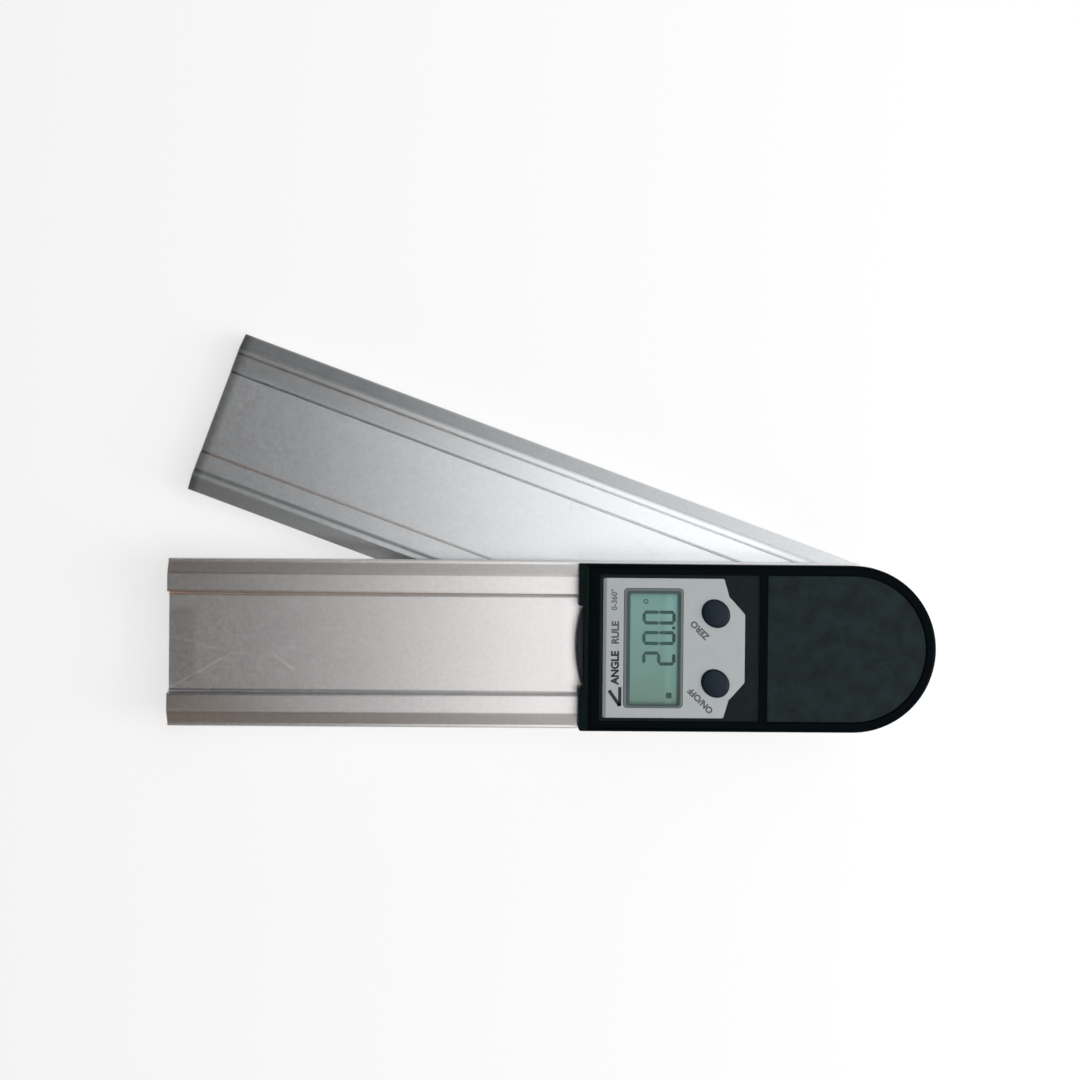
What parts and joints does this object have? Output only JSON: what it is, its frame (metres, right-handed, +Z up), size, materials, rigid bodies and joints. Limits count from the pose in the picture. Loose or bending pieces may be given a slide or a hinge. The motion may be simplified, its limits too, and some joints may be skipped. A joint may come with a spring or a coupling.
{
  "type": "digital angle rule",
  "caption": "Digital angle rule: two flat aluminium arms on a pivot, with a black measuring head that has a display, press buttons and a coin-cell drawer.",
  "frame": {"origin": "on the pivot axis, in the plane of the lower arm's resting side", "axes": "+X from the fixed arm's free end towards the pivot, +Y towards the side where the lower arm opens, +Z up from the lower arm to the measuring head"},
  "size_m": [0.2306, 0.1194, 0.0256],
  "materials": {
    "arm_aluminium": "satin anodised extrusion",
    "shell_black": "black moulded plastic, semi-gloss",
    "cover_black": "black moulded plastic, fine matte grain",
    "button_black": "black rubber-like plastic",
    "plate_silver": "silver, fine brushed",
    "frame_grey": "dark grey",
    "window_clear": "clear acrylic",
    "display_green": "reflective grey-green liquid crystal display",
    "nylon": "natural nylon",
    "strip_rubber": "striped silicone",
    "steel": "turned steel",
    "screw_steel": "zinc-plated steel",
    "bronze": "sintered bronze",
    "leaf_bronze": "spring bronze",
    "board_green": "green circuit board",
    "chip_black": "moulded black",
    "cell_steel": "nickel-plated can"
  },
  "bodies": {
    "fixed_body": {"fixed_arm": "arm_aluminium", "pivot_bush": "bronze", "head_shell": "shell_black", "hinge_cover": "cover_black", "face_plate": "plate_silver", "window_frame": "frame_grey", "window_lens": "window_clear", "lcd_panel": "display_green", "lcd_holder": "nylon", "zebra_strips": "strip_rubber", "button_switches": "chip_black", "main_board": "board_green", "board_screws": "screw_steel", "cover_screws": "screw_steel", "controller_chip": "chip_black", "crystal_can": "steel", "battery_bay": "cover_black", "contact_negative": "leaf_bronze", "contact_positive": "leaf_bronze"},
    "swing_body": {"swing_arm": "arm_aluminium", "pivot_shaft": "steel", "flange_screws": "screw_steel", "thrust_washer": "nylon", "disc_spring": "steel", "pivot_nut": "steel", "rotor_disc": "board_green", "rotor_screw": "screw_steel"},
    "drawer_body": {"battery_drawer": "shell_black", "coin_cell": "cell_steel"},
    "zero_body": {"zero_button": "button_black"},
    "power_body": {"power_button": "button_black"}
  },
  "joints": [
    {"name": "arm_swing", "type": "hinge", "parent": "fixed_body", "child": "swing_body", "pos_m": [0, 0, 0], "axis": [0, 0, 1], "continuous": true},
    {"name": "drawer_slide", "type": "slide", "parent": "fixed_body", "child": "drawer_body", "axis": [-1, 0, 0], "range_m": [0, 0.022]},
    {"name": "zero_press", "type": "slide", "parent": "fixed_body", "child": "zero_body", "axis": [0, 0, -1], "range_m": [0, 0.0005], "stiffness_N_per_m": 2000, "springref_m": -0.0002},
    {"name": "power_press", "type": "slide", "parent": "fixed_body", "child": "power_body", "axis": [0, 0, -1], "range_m": [0, 0.0005], "stiffness_N_per_m": 2000, "springref_m": -0.0002}
  ]
}
